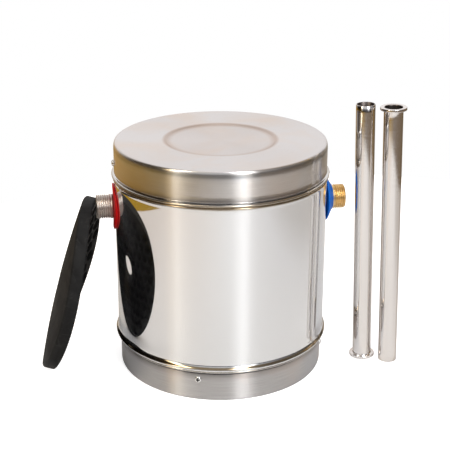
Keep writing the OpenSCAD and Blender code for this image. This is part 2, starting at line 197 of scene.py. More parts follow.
def softbox(name, turn, height, away, width, tall, power, colour=(1, 1, 1)):
    """An area lamp at an angle from the camera's side, facing the middle of the canister."""
    data = bpy.data.lights.new(name, "AREA")
    data.shape = "RECTANGLE"
    data.size = width
    data.size_y = tall
    data.energy = power
    data.color = colour
    lamp = bpy.data.objects.new(name, data)
    bpy.context.scene.collection.objects.link(lamp)
    angle = CAMERA_TURN + math.radians(turn)
    lamp.location = (math.sin(angle) * away, -math.cos(angle) * away, height)
    lamp.rotation_euler = (Vector((0, 0, 0.1)) - lamp.location).to_track_quat("-Z", "Y").to_euler()


def around_the_room(turn):
    """Place on a ramp over all bearings of a bearing in degrees from the camera's side."""
    return (turn + math.degrees(CAMERA_TURN) + 180) / 360


def studio_world():
    """White to the camera. To everything else it is a room whose light changes with the bearing."""
    world = bpy.data.worlds.new("studio")
    bpy.context.scene.world = world
    world.use_nodes = True
    tree = world.node_tree
    tree.nodes.clear()
    output = tree.nodes.new("ShaderNodeOutputWorld")
    coords = tree.nodes.new("ShaderNodeTexCoord")
    split = split_up(tree, coords.outputs["Generated"])
    bearing = maths(tree, "ARCTAN2", split["X"], maths(tree, "MULTIPLY", split["Y"], -1))
    around, height = [
        node(tree, "ShaderNodeMapRange", Value=value, From_Min=-reach, From_Max=reach).outputs[0]
        for value, reach in ((bearing, math.pi), (split["Z"], 1))]
    tent = ramp(tree, around, [(around_the_room(turn), colour) for turn, colour in (
        (-165, (0.27, 0.265, 0.265)), (-130, (0.16, 0.155, 0.15)), (-104, (0.008, 0.006, 0.004)),
        (-62, (0.008, 0.006, 0.004)), (-56, (1.0, 0.76, 0.43)), (-49, (1.0, 0.92, 0.76)),
        (-41, (0.15, 0.148, 0.145)), (12, (0.17, 0.17, 0.175)), (21, (1.0, 1.0, 1.0)),
        (33, (1.0, 1.0, 1.0)), (41, (0.13, 0.13, 0.135)), (72, (0.06, 0.058, 0.06)),
        (108, (0.07, 0.07, 0.07)), (112, (0.22, 0.14, 0.04)), (120, (0.20, 0.13, 0.05)),
        (124, (0.015, 0.015, 0.015)), (138, (0.03, 0.03, 0.03)), (146, (0.25, 0.245, 0.245)),
        (185, (0.27, 0.265, 0.265)))])
    floor = ramp(tree, around, [(around_the_room(turn), colour) for turn, colour in (
        (-120, (0.11, 0.062, 0.004)), (-45, (0.09, 0.058, 0.016)), (0, (0.06, 0.048, 0.038)),
        (90, (0.05, 0.037, 0.025)), (170, (0.07, 0.055, 0.035)))])
    step = ramp(tree, height, [(0.47, 0), (0.54, 1)])
    sill = ramp(tree, height, [
        (0.0, 1), (0.40, 1), (0.45, (0.16, 0.16, 0.17)), (0.58, (0.16, 0.16, 0.17)), (0.66, 1)])
    front = ramp(tree, around, [(around_the_room(turn), share) for turn, share in (
        (-140, 0), (-110, 1), (110, 1), (140, 0))])
    joined = mix_colours(tree, step, floor, tent)
    banded = mix_colours(tree, front, joined, sill, "MULTIPLY")
    seen = node(tree, "ShaderNodeBackground", Color=(1, 1, 1, 1), Strength=1.0)
    room = node(tree, "ShaderNodeBackground", Color=banded, Strength=4.0)
    path = tree.nodes.new("ShaderNodeLightPath")
    mix = node(tree, "ShaderNodeMixShader", path.outputs["Is Camera Ray"], room.outputs[0], seen.outputs[0])
    tree.links.new(mix.outputs[0], output.inputs["Surface"])


place_camera()
studio_world()
bpy.context.scene.view_settings.view_transform = "Standard"
table_top("table", (0.08, -0.08), 0.58, table_material())
softbox("key_box", 28, 1.1, 0.9, 0.20, 0.9, 4.5)
softbox("left_box", -50, 1.1, 1.0, 0.16, 0.9, 3, (1.0, 0.95, 0.88))


# ---------------------------------------------------------------- jacket
# The outer shell: thin stainless sheet, rolled, buffed to a mirror around its axis, with a
# rolled bead at each end. Its skirt is screwed inside the base cover; its slotted collar
# carries the top cover.
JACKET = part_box("jacket")
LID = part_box("top_cover")
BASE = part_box("base_cover")
SHEET = 1.0 * MM
jacket_r = LID[1].x
bead_r = JACKET[1].x
lid_low = LID[0].z
base_r = BASE[1].x
base_h = BASE[1].z
low_bead_z = base_h + 5 * MM
high_bead_z = lid_low - 3.8 * MM
JACKET_STEPS = 360
PORT_OPENING_R = 11 * MM
LID_SCREW_TURN = -88
RAMP_TALL = 0.25


def middle_z(cad_node):
    low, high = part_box(cad_node)
    return (low.z + high.z) / 2


port_z = middle_z("cold_nipple")


def arc(centre_r, centre_z, size_r, size_z, start, end, steps):
    """Points of an elliptical arc in the (radius, height) plane, angles in degrees."""
    points = []
    for i in range(steps + 1):
        angle = math.radians(start + (end - start) * i / steps)
        points.append((centre_r + size_r * math.cos(angle), centre_z + size_z * math.sin(angle)))
    return points


def skin(bm, loops):
    """Faces between each loop of vertices and the next, down to triangles at a point."""
    for one, two in zip(loops, loops[1:]):
        for i in range(len(one)):
            j = (i + 1) % len(one)
            corners = list(dict.fromkeys((one[i], one[j], two[j], two[i])))
            if len(corners) > 2:
                bm.faces.new(corners)


def lathe(bm, profile, steps, closed=True):
    """Turns a profile of (radius, height) about Z."""
    rings = []
    for radius, height in profile:
        if radius < 1e-7:
            rings.append([bm.verts.new((0, 0, height))] * steps)
        else:
            rings.append([bm.verts.new((x, y, height)) for x, y in circle_points(0, 0, radius, steps)])
    skin(bm, rings + rings[:1] if closed else rings)


def column(start, end, steps):
    """Evenly spaced heights on a straight wall, both ends left out."""
    (r0, z0), (r1, z1) = start, end
    return [(r0 + (r1 - r0) * i / steps, z0 + (z1 - z0) * i / steps) for i in range(1, steps)]


def noise(tree, place, scale, **settings):
    return node(tree, "ShaderNodeTexNoise", Vector=place, Scale=scale, **settings).outputs["Fac"]


def bumps(tree, height, strength, distance):
    return node(tree, "ShaderNodeBump", Height=height, Strength=strength, Distance=distance).outputs[0]


def from_axis(tree, split):
    """Distance from the Z axis."""
    flat = node(tree, "ShaderNodeCombineXYZ", split["X"], split["Y"])
    return node(tree, "ShaderNodeVectorMath", flat.outputs[0], operation="LENGTH").outputs["Value"]


def brushed_grain(tree, turns, height_scale, mark_scale):
    """Fine marks that run around the Z axis: noise stretched along the angle."""
    place = object_place(tree)
    split = split_up(tree, place)
    around = maths(tree, "MULTIPLY", maths(tree, "ARCTAN2", split["Y"], split["X"]), turns)
    rise = maths(tree, "ADD", split["Z"], from_axis(tree, split))
    fine = maths(tree, "MULTIPLY", rise, height_scale)
    along = node(tree, "ShaderNodeCombineXYZ", around, fine).outputs[0]
    return noise(tree, along, mark_scale, Detail=4, Roughness=0.6), place


def by_height(tree, place, stops):
    """A ramp of colours over the height above the table."""
    level = node(tree, "ShaderNodeMapRange", Value=split_up(tree, place)["Z"], From_Max=RAMP_TALL)
    return ramp(tree, level.outputs[0], [(height / RAMP_TALL, colour) for height, colour in stops])


def smear_over(tree, shader, colour, smear, share):
    """Mixes in a shine that marks around the Z axis smear up and down."""
    tangent = node(tree, "ShaderNodeTangent", direction_type="RADIAL", axis="Z")
    haze = node(tree, "ShaderNodeBsdfAnisotropic", Color=colour, Roughness=0.32, Anisotropy=smear,
                Tangent=tangent.outputs[0])
    show(tree, node(tree, "ShaderNodeMixShader", share, shader.outputs[0], haze.outputs[0]))


def mirror_steel():
    """Buffed sheet, with painted dark and warm reflection bands along both rolled beads."""
    material, tree, shader = new_material("mirror_steel", Metallic=1)
    marks, place = brushed_grain(tree, 2.5, 900, 3)
    # The dark brown and warm grey bands near the beads are painted reflections of dark and gold lines.
    clean, painted_dark_band, dull = (0.855, 0.87, 0.89), (0.34, 0.27, 0.18), (0.54, 0.48, 0.40)
    low = [(-2.2, clean), (-1.6, dull), (-1.0, clean), (0.7, clean), (1.2, painted_dark_band), (2.3, painted_dark_band),
           (3.0, clean)]
    high = [(-2.4, clean), (-2.0, dull), (-1.4, painted_dark_band), (-0.7, dull), (-0.2, painted_dark_band), (0.5, dull),
            (1.2, painted_dark_band), (1.9, dull), (2.8, clean)]
    colour = by_height(tree, place, [
        (bead_z + rise * MM, shade)
        for bead_z, stops in ((low_bead_z, low), (high_bead_z, high)) for rise, shade in stops])
    blotch = noise(tree, place, 14, Detail=3)
    dents = noise(tree, place, 10, Detail=0)
    set_inputs(tree, shader, Base_Color=colour, Roughness=ramp(tree, blotch, [(0.35, 0.02), (0.7, 0.045)]),
               Normal=bumps(tree, dents, 1.0, 0.00005))
    smear_over(tree, shader, colour, 0.9, ramp(tree, marks, [(0.3, 0.12), (0.7, 0.17)]))
    return material


def round_port_hole(bm, side, radius):
    """Opens a round hole in a turned wall where a port goes through."""
    def away(point):
        return math.hypot(point.y, point.z - port_z)
    doomed = []
    for face in bm.faces:
        centre = face.calc_center_median()
        if centre.x * side > 0 and away(centre) < radius:
            doomed.append(face)
    bmesh.ops.delete(bm, geom=doomed, context="FACES")
    for vert in bm.verts:
        if vert.co.x * side > 0 and vert.is_boundary and away(vert.co) < radius * 1.5:
            y, z = vert.co.y, vert.co.z - port_z
            scale = radius / max(math.hypot(y, z), 1e-6)
            wall = math.hypot(vert.co.x, vert.co.y)
            vert.co.y, vert.co.z = y * scale, port_z + z * scale
            vert.co.x = side * math.sqrt(max(wall ** 2 - vert.co.y ** 2, 0))


def collar_slot(bm, turn, half_width, floor):
    """Opens a slot from the collar's top down to a cover screw."""
    doomed = []
    for face in bm.faces:
        centre = face.calc_center_median()
        along = centre.x * math.sin(turn) - centre.y * math.cos(turn)
        across = centre.x * math.cos(turn) + centre.y * math.sin(turn)
        if along > 0 and abs(across) < half_width and centre.z > floor:
            doomed.append(face)
    bmesh.ops.delete(bm, geom=doomed, context="FACES")


def jacket_shell():
    collar_r = jacket_r - 1.4 * MM
    skirt_r = base_r - 1.2 * MM
    flare_top = low_bead_z + 4.2 * MM
    out = [(skirt_r, JACKET[0].z), (skirt_r, low_bead_z - 3.6 * MM)]
    out += [(base_r + 0.2 * MM, low_bead_z - 3.1 * MM), (base_r + 1.6 * MM, low_bead_z - 2.7 * MM)]
    out += arc(base_r + 1.9 * MM, low_bead_z - 1.9 * MM, 0.9 * MM, 0.75 * MM, -80, 70, 6)
    out += [(bead_r - 1.5 * MM, low_bead_z - 1.0 * MM)]
    out += arc(bead_r - 1.5 * MM, low_bead_z + 0.4 * MM, 1.5 * MM, 1.4 * MM, -90, 60, 10)
    out += [(jacket_r + 0.75 * MM, low_bead_z + 2.4 * MM), (jacket_r + 0.28 * MM, low_bead_z + 3.3 * MM)]
    out += [(jacket_r, flare_top)]
    foot, head = (jacket_r, flare_top), (jacket_r, high_bead_z - 3.0 * MM)
    out += column(foot, head, 64) + [head]
    out += arc(jacket_r, high_bead_z - 1.3 * MM, 1.1 * MM, 1.0 * MM, -80, 80, 8)
    out += [(jacket_r + 0.1 * MM, high_bead_z - 0.1 * MM)]
    out += arc(jacket_r, high_bead_z + 1.2 * MM, 1.9 * MM, 1.2 * MM, -75, 90, 10)
    out += [(collar_r + 0.5 * MM, high_bead_z + 2.7 * MM), (collar_r, high_bead_z + 3.6 * MM)]
    collar_top = JACKET[1].z - 0.06 * MM
    out += column((collar_r, high_bead_z + 3.6 * MM), (collar_r, collar_top), 10) + [(collar_r, collar_top)]
    inner = [(r - SHEET, z) for r, z in reversed(out)]
    bm = bmesh.new()
    lathe(bm, out + inner, JACKET_STEPS)
    for side in (-1, 1):
        round_port_hole(bm, side, PORT_OPENING_R)
    for turn in (LID_SCREW_TURN, LID_SCREW_TURN + 180):
        collar_slot(bm, math.radians(turn), 2.6 * MM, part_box("top_cover_screws")[0].z - 0.1 * MM)
    return mesh_object("jacket_shell", bm, mirror_steel())


shell = jacket_shell()
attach(shell, "canister")
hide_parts("jacket")


# ---------------------------------------------------------------- top cover
# A pressed cup of brushed stainless sheet with a rolled edge and a shallow round pressed in
# its top, turned on a polishing lathe, slipped over the collar and held by two screws.
RECESS_R = 46.5 * MM
RECESS_DEPTH = 1.2 * MM
LID_FLARE = 4.4 * MM
RAMP_WIDE = 0.1


def brown_ring_at_step(tree, place, colour, radius):
    """Browns a colour in a narrow ring along a pressed step."""
    out = node(tree, "ShaderNodeMapRange", Value=from_axis(tree, split_up(tree, place)), From_Max=RAMP_WIDE)
    step = radius / RAMP_WIDE
    line = ramp(tree, out.outputs[0], [
        (step - 0.06, 0.16), (step - 0.012, 0.6), (step + 0.006, 0.6), (step + 0.03, 0)])
    return mix_colours(tree, line, colour, (0.46, 0.34, 0.27, 1))


def brushed_cover_steel(name, colour, dark, rough, tint, smear, share, shades=((0, 1),), step_r=0):
    """Steel brushed around Z: a part that mirrors softly and a part smeared across the marks."""
    material, tree, shader = new_material(name, Metallic=1)
    marks, place = brushed_grain(tree, 1.5, 2600, 2.2)
    stain = noise(tree, place, 16, Detail=4, Distortion=0.6)
    # Painted shade and reflection bands by height, given in shades, multiply the brushed colour.
    steel = mix_colours(tree, 1, ramp(tree, marks, [(0.3, dark), (0.7, colour)]),
                        by_height(tree, place, shades), "MULTIPLY")
    steel = mix_colours(tree, ramp(tree, stain, [(0.48, 0), (0.68, 0.5)]), steel, (*tint, 1))
    if step_r:
        steel = brown_ring_at_step(tree, place, steel, step_r)
    roughness = ramp(tree, marks, [(0.3, rough + 0.04), (0.7, rough - 0.03)])
    set_inputs(tree, shader, Base_Color=steel, Roughness=roughness, Normal=bumps(tree, marks, 0.04, 0.0002))
    smear_over(tree, shader, steel, smear, share)
    return material


def top_cover_shell():
    top = LID[1].z
    edge = 1.9 * MM
    waist = jacket_r - 0.35 * MM
    out = [(0, top - RECESS_DEPTH)]
    out += [(RECESS_R * i / 12, top - RECESS_DEPTH) for i in range(1, 11)]
    for i in range(9):
        rise = (1 - math.cos(math.pi * i / 8)) / 2
        out.append((RECESS_R + (i - 5) * 0.45 * MM, top - RECESS_DEPTH * (1 - rise)))
    out += column((RECESS_R + 1.35 * MM, top), (waist - edge - 0.5 * MM, top), 14)
    out += arc(waist - edge - 0.5 * MM, top - edge, edge, edge, 90, 16, 12)
    out += arc(waist - 0.6 * MM, top - 6.4 * MM, 0.6 * MM, 4.8 * MM, 62, 0, 8)
    out += column((waist, top - 6.4 * MM), (waist, lid_low + LID_FLARE), 10) + [(waist, lid_low + LID_FLARE)]
    for i in range(1, 7):
        height = lid_low + LID_FLARE * (1 - i / 6) + 0.3 * MM * i / 6
        out.append((waist + (jacket_r - waist) * (i / 6) ** 2, height))
    out += arc(jacket_r - 0.3 * MM, lid_low + 0.3 * MM, 0.3 * MM, 0.3 * MM, -10, -90, 4)
    inner = [(jacket_r - SHEET, lid_low), (jacket_r - SHEET, top - edge)]
    inner += arc(jacket_r - edge, top - edge, edge - SHEET, edge - SHEET, 0, 90, 6)
    inner += [(RECESS_R + 0.5 * MM, top - SHEET), (RECESS_R - 1.5 * MM, top - RECESS_DEPTH - SHEET)]
    inner += [(0, top - RECESS_DEPTH - SHEET)]
    bm = bmesh.new()
    lathe(bm, out + inner, 256, closed=False)
    # Painted shade and reflections by height: a dark band at the bottom edge, and pale, blue-grey and dark
    # bands below the top's rounded edge.
    painted_shading_by_height = [(lid_low + 0.6 * MM, (0.62, 0.60, 0.58)), (lid_low + 2.4 * MM, (0.86, 0.85, 0.84)),
            (top - 9.5 * MM, 1), (top - 6.2 * MM, (0.95, 0.97, 1)), (top - 4.6 * MM, (0.62, 0.66, 0.70)),
            (top - 3.0 * MM, 0.70), (top - 1.8 * MM, 1)]
    skirt = brushed_cover_steel("brushed_skirt_steel", (0.90, 0.885, 0.875), (0.68, 0.665, 0.655), 0.14,
                                (0.80, 0.64, 0.50), 0.82, 0.5, painted_shading_by_height)
    # The up-facing faces get a darker copy of the same sheet's colour: painted shade.
    top_steel_painted_darker = brushed_cover_steel("brushed_top_steel", (0.70, 0.675, 0.67), (0.655, 0.63, 0.62), 0.30,
                                  (0.70, 0.58, 0.49), 0.4, 0.5, step_r=RECESS_R)
    made = mesh_object("top_cover_shell", bm, skirt)
    made.data.materials.append(top_steel_painted_darker)
    for polygon in made.data.polygons:
        if polygon.normal.z > 0.7:
            polygon.material_index = 1
    return made


cover = top_cover_shell()
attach(cover, "lid")
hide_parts("top_cover")


# ---------------------------------------------------------------- base cover
# A shallow cup of the same brushed sheet, pushed over the jacket's skirt and screwed to it.
def base_cover_shell():
    edge = 1.4 * MM
    out = [(0, 0), (base_r * 0.5, 0)]
    out += arc(base_r - edge, edge, edge, edge, -90, 0, 8)
    out += column((base_r, edge), (base_r, base_h - 0.3 * MM), 8)
    out += arc(base_r - 0.3 * MM, base_h - 0.3 * MM, 0.3 * MM, 0.3 * MM, 0, 90, 3)
    inner = [(base_r - SHEET, base_h), (base_r - SHEET, edge)]
    inner += arc(base_r - edge, edge, edge - SHEET, edge - SHEET, 0, -90, 5) + [(0, SHEET)]
    bm = bmesh.new()
    lathe(bm, out + inner, 256, closed=False)
    # Painted shade by height: darker at the bottom edge and darker still up under the jacket's bead.
    painted_shading_by_height = [(0, 0.85), (2 * MM, 1), (base_h - 6 * MM, 1), (base_h - 2 * MM, (0.74, 0.73, 0.72)),
            (base_h, (0.52, 0.51, 0.50))]
    steel = brushed_cover_steel("brushed_base_steel", (0.68, 0.67, 0.67), (0.46, 0.45, 0.45), 0.20,
                                (0.66, 0.56, 0.50), 0.78, 0.6, painted_shading_by_height)
    return mesh_object("base_cover_shell", bm, steel)


cup = base_cover_shell()
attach(cup, "canister")
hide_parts("base_cover")


# ---------------------------------------------------------------- cover screws
# Small stainless pan-head screws with a cross recess: four hold the base cover on the
# jacket's skirt, and two hold the top cover on the collar.
SCREW_R = 1.5 * MM
HEAD_R = 2.75 * MM
HEAD_H = 1.7 * MM
SCREW_GRIP = 4.4 * MM
BASE_SCREW_TURN = -19.5


def facing_out(turn, radius, height):
    """Stands a piece made along +Z on a wall, pointing outwards; turn counts from the front."""
    outwards = Matrix.Translation((0, -radius, height)) @ Matrix.Rotation(math.pi / 2, 4, "X")
    return Matrix.Rotation(math.radians(turn), 4, "Z") @ outwards


def recess_depth(x, y):
    """How far the cross recess sinks a point of the head."""
    arm, width, deep, soft = 1.55 * MM, 0.42 * MM, 1.3 * MM, 0.14 * MM
    along, across = max(abs(x), abs(y)), min(abs(x), abs(y))
    inside = min((arm - along) / soft, (width - across) / soft + 1)
    return deep * max(0.0, min(1.0, inside)) * (1 - 0.35 * along / arm)


def pan_head_screw(bm, place):
    sides, rings = 72, 26
    grid = []
    sunk = set()
    for k in range(1, rings + 1):
        dome = HEAD_H * (0.28 + 0.72 * math.sqrt(max(0.0, 1 - (k / rings) ** 2.6)))
        ring = []
        for x, y in circle_points(0, 0, HEAD_R * k / rings, sides):
            vert = bm.verts.new(place @ Vector((x, y, dome - recess_depth(x, y))))
            if recess_depth(x, y) > 0.1 * MM:
                sunk.add(vert)
            ring.append(vert)
        grid.append(ring)
    for radius, height in ((HEAD_R, 0.02 * MM), (SCREW_R, 0.02 * MM), (SCREW_R, 0.7 * MM - SCREW_GRIP),
                           (SCREW_R * 0.4, -SCREW_GRIP)):
        grid.append([bm.verts.new(place @ Vector((x, y, height)))
                     for x, y in circle_points(0, 0, radius, sides)])
    middle = bm.verts.new(place @ Vector((0, 0, HEAD_H - recess_depth(0, 0))))
    for i in range(sides):
        bm.faces.new((middle, grid[0][i], grid[0][(i + 1) % sides]))
    for lower, upper in zip(grid, grid[1:]):
        for i in range(sides):
            j = (i + 1) % sides
            face = bm.faces.new((lower[i], upper[i], upper[j], lower[j]))
            # Faces in the cross recess take the second material, a near-black painted shade.
            if sunk.intersection(face.verts):
                face.material_index = 1
    bm.faces.new(grid[-1])


def screw_steel(name, low, high):
    material, tree, shader = new_material(name, Metallic=1)
    grime = noise(tree, object_place(tree), 900, Detail=3)
    set_inputs(tree, shader, Base_Color=ramp(tree, grime, [(0.3, low), (0.7, high)]),
               Roughness=ramp(tree, grime, [(0.3, 0.30), (0.7, 0.12)]))
    return material


screw_finish = screw_steel("screw_steel", 0.70, 0.88)
# The cross recess gets near-black steel: painted shade.
recess_painted_shade = screw_steel("screw_recess_painted_shade", 0.03, 0.08)


def ring_of_screws(name, count, turn, radius, height):
    bm = bmesh.new()
    for i in range(count):
        pan_head_screw(bm, facing_out(turn + i * 360 / count, radius, height))
    made = mesh_object(name, bm, screw_finish)
    made.data.materials.append(recess_painted_shade)
    return made


for name, cad_node, body, count, turn, radius in (
        ("base_screws", "base_cover_screws", "canister", 4, BASE_SCREW_TURN, base_r),
        ("lid_screws", "top_cover_screws", "lid", 2, LID_SCREW_TURN, jacket_r)):
    screws = ring_of_screws(name, count, turn, radius, middle_z(cad_node))
    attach(screws, body)
    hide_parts(cad_node)


# ---------------------------------------------------------------- hot and cold nipples
# Half-inch male pipe nipples, turned from bar, with a real helical thread: steel on the
# hot side and brass on the cold side. Each is welded into a boss on the hidden vessel.
PITCH = 1.814 * MM
THREAD_DEEP = 1.162 * MM
BORE_R = 7.5 * MM
SHANK_STEP = 0.4 * MM
THREAD_GAP = 0.6 * MM
THREAD_CHAMFER = 0.6 * MM


def along_port(side):
    """Points a piece made along +Z out of a port: +X is the cold side and -X the hot one."""
    return Matrix.Translation((0, 0, port_z)) @ Matrix.Rotation(side * math.pi / 2, 4, "Y")


def thread_cut(distance, turn):
    """Depth of the thread's groove at a distance along it and a turn around it, 0 at the crest."""
    phase = (distance / PITCH - turn) % 1.0
    return THREAD_DEEP * max(0.0, min(1.0, (1 - abs(2 * phase - 1) - 0.10) / 0.72))


def threaded_nipple(name, side, cad_node, thread_low, material):
    low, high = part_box(cad_node)
    root, tip = (low.x, high.x) if side > 0 else (-high.x, -low.x)
    outer = (high.y - low.y) / 2
    sides, per_pitch = 144, 16
    steps = int((tip - thread_low) / PITCH * per_pitch)
    rings = [(root, outer - SHANK_STEP, 0), (thread_low - SHANK_STEP, outer - SHANK_STEP, 0)]
    for i in range(steps + 1):
        at = thread_low + (tip - thread_low) * i / steps
        fade = min(1.0, (at - thread_low) / (1.2 * PITCH))
        chamfer = min(outer, outer - THREAD_CHAMFER + (tip - at))
        rings.append((at, chamfer, fade))
    mouth = [(tip, BORE_R + 0.5 * MM, 0), (tip - 0.5 * MM, BORE_R, 0), (root, BORE_R, 0)]
    bm = bmesh.new()
    place = along_port(side)
    loops = []
    for at, radius, fade in rings + mouth:
        loop = []
        for i in range(sides):
            turn = i / sides
            here = min(radius, outer - fade * thread_cut(at - thread_low, turn)) if fade else radius
            angle = 2 * math.pi * turn
            loop.append(bm.verts.new(place @ Vector((here * math.cos(angle), here * math.sin(angle), at))))
        loops.append(loop)
    loops.append(loops[0])
    skin(bm, loops)
    return mesh_object(name, bm, material)


def stretched(tree, place, scale):
    return node(tree, "ShaderNodeMapping", Vector=place, Scale=scale).outputs[0]


def turned_metal(name, bright, dull, rough):
    material, tree, shader = new_material(name, Metallic=1)
    place = object_place(tree)
    marks = noise(tree, stretched(tree, place, (900, 12, 12)), 1.0, Detail=3)
    both = maths(tree, "MULTIPLY", marks, noise(tree, place, 60, Detail=1))
    set_inputs(tree, shader, Base_Color=ramp(tree, both, [(0.05, dull), (0.30, bright)]),
               Roughness=ramp(tree, both, [(0.12, rough + 0.08), (0.36, rough)]))
    return material


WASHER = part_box("hot_washer")
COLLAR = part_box("cold_collar")
washer_face = -WASHER[0].x
collar_face = COLLAR[1].x
steel_thread = turned_metal("steel_thread", (0.66, 0.61, 0.57), (0.46, 0.41, 0.37), 0.30)
brass_thread = turned_metal("brass_thread", (0.92, 0.68, 0.34), (0.70, 0.48, 0.20), 0.32)
for name, cad_node, side, face, finish, finish_slot in (
        ("hot_thread", "hot_nipple", -1, washer_face, steel_thread, "thread_steel"),
        ("cold_thread", "cold_nipple", 1, collar_face, brass_thread, "thread_brass")):
    nipple = threaded_nipple(name, side, cad_node, face + THREAD_GAP, finish)
    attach(nipple, "canister")
    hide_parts(cad_node)


# ---------------------------------------------------------------- red washer
# A soft moulded washer on the hot nipple, bent to the round of the jacket, with a rounded
# rim and a shallow dish around the nipple.
SKIN_GAP = 0.1 * MM
TRIM_HOLE_R = 10.68 * MM


def moulded_plastic(name, colour, deep, rough):
    material, tree, shader = new_material(name, Specular_IOR_Level=0.22)
    place = object_place(tree)
    grain = noise(tree, place, 700, Detail=4)
    cloud = noise(tree, place, 90, Detail=3)
    set_inputs(tree, shader, Base_Color=ramp(tree, cloud, [(0.3, deep), (0.7, colour)]),
               Roughness=ramp(tree, cloud, [(0.3, rough + 0.08), (0.7, rough - 0.04)]),
               Normal=bumps(tree, grain, 0.12, 0.0001))
    return material


def saddle_washer():
    rim_r = (WASHER[1].z - WASHER[0].z) / 2
    thick = washer_face - jacket_r - SKIN_GAP
    profile = [(TRIM_HOLE_R, 0)] + column((TRIM_HOLE_R, 0), (rim_r - thick / 2, 0), 12)
    profile += arc(rim_r - thick / 2, thick / 2, thick / 2, thick / 2, -90, 90, 10)
    profile += column((rim_r - thick / 2, thick), (TRIM_HOLE_R + 2.2 * MM, thick * 0.86), 8)
    profile += arc(TRIM_HOLE_R + 0.5 * MM, thick * 0.86 - 0.5 * MM, 0.5 * MM, 0.5 * MM, 90, 180, 4)
    bm = bmesh.new()
    loops = []
    for radius, height in profile:
        wall = jacket_r + SKIN_GAP + height
        loops.append([bm.verts.new((-math.sqrt(wall ** 2 - y ** 2), y, port_z + z))
                      for y, z in circle_points(0, 0, radius, 160)])
    skin(bm, loops + loops[:1])
    red = moulded_plastic("red_plastic", (0.66, 0.004, 0.006), (0.50, 0.003, 0.004), 0.42)
    return mesh_object("red_saddle_washer", bm, red)


washer = saddle_washer()
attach(washer, "canister")
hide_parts("hot_washer")


# ---------------------------------------------------------------- blue collar
# A moulded cone-shaped collar on the cold nipple. Its wide rim is pushed against the jacket,
# and its cone runs down to the nipple.
def cone_collar():
    rim_r = (COLLAR[1].z - COLLAR[0].z) / 2
    foot = jacket_r + SKIN_GAP
    nose_r, edge = 11.7 * MM, 0.5 * MM
    profile = [(TRIM_HOLE_R, foot)] + column((TRIM_HOLE_R, foot), (rim_r - edge, foot), 10)
    profile += arc(rim_r - edge, foot + edge, edge, edge, -90, 50, 8)
    cone_foot = (rim_r - 0.7 * MM, foot + 1.3 * MM)
    cone_head = (nose_r + 0.2 * MM, collar_face - 0.7 * MM)
    profile += [cone_foot] + column(cone_foot, cone_head, 12)
    profile += arc(nose_r - 0.6 * MM, collar_face - 0.6 * MM, 0.6 * MM, 0.6 * MM, 30, 90, 5)
    profile += [(TRIM_HOLE_R, collar_face - 0.2 * MM)]
    bm = bmesh.new()
    lathe(bm, profile, 160)
    bmesh.ops.transform(bm, matrix=along_port(1), verts=bm.verts)
    blue = moulded_plastic("blue_plastic", (0.001, 0.17, 0.74), (0.001, 0.14, 0.64), 0.42)
    return mesh_object("blue_cone_collar", bm, blue)


collar = cone_collar()
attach(collar, "canister")
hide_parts("cold_collar")


# ---------------------------------------------------------------- flanged tubes
# Two loose lengths of polished thin-wall stainless tube, each with a pressed flange at one
# end. One stands on its flange and the other on its plain end, both leaning a little.
TUBE_LEAN = math.radians(1.7)
TUBE_TURN = math.radians(-7.5)
TUBE_R = 8.0 * MM
TUBE_WALL = 0.8 * MM
TUBE_LEN = 230 * MM
FLANGE_R = 11.0 * MM
FLANGE_T = 2.4 * MM


def onto_box(piece, cad_node):
    """Moves a piece so that its box has the same middle as the CAD node's box."""
    low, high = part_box(cad_node)
    corners = [piece.matrix_world @ Vector(corner) for corner in piece.bound_box]
    for axis in range(3):
        values = [corner[axis] for corner in corners]
        piece.data.transform(Matrix.Translation([
            (low[axis] + high[axis] - min(values) - max(values)) / 2 if i == axis else 0 for i in range(3)]))
    return piece


def tube_steel(name, colours, shine):
    """Drawn and polished tube with painted reflections. Its colours go by how far it turns from the eye, so
    they move with it.
    """
    material, tree, shader = new_material(name, Metallic=1)
    facing = node(tree, "ShaderNodeLayerWeight", Blend=0.5).outputs["Facing"]
    marks = noise(tree, stretched(tree, object_place(tree), (60, 60, 900)), 1.0, Detail=4)
    set_inputs(tree, shader, Base_Color=ramp(tree, facing, colours),
               Roughness=ramp(tree, marks, [(0.3, shine + 0.06), (0.7, shine)]),
               Normal=bumps(tree, marks, 0.03, 0.0001))
    return material


# Painted reflections: light and dark bands by facing on the outside of the tube.
tube_painted_reflections = tube_steel("tube_steel", [
    (0.0, (0.84, 0.82, 0.81)), (0.45, (0.78, 0.75, 0.73)), (0.62, (0.50, 0.44, 0.39)),
    (0.72, (0.78, 0.74, 0.72)), (0.86, (0.46, 0.40, 0.36)), (1.0, (0.62, 0.58, 0.56))], 0.08)
# Painted shade: dark colours inside the tube's bore.
tube_inside_painted_shade = tube_steel("tube_inside_steel", [(0.0, (0.14, 0.12, 0.11)), (1.0, (0.05, 0.04, 0.035))], 0.35)


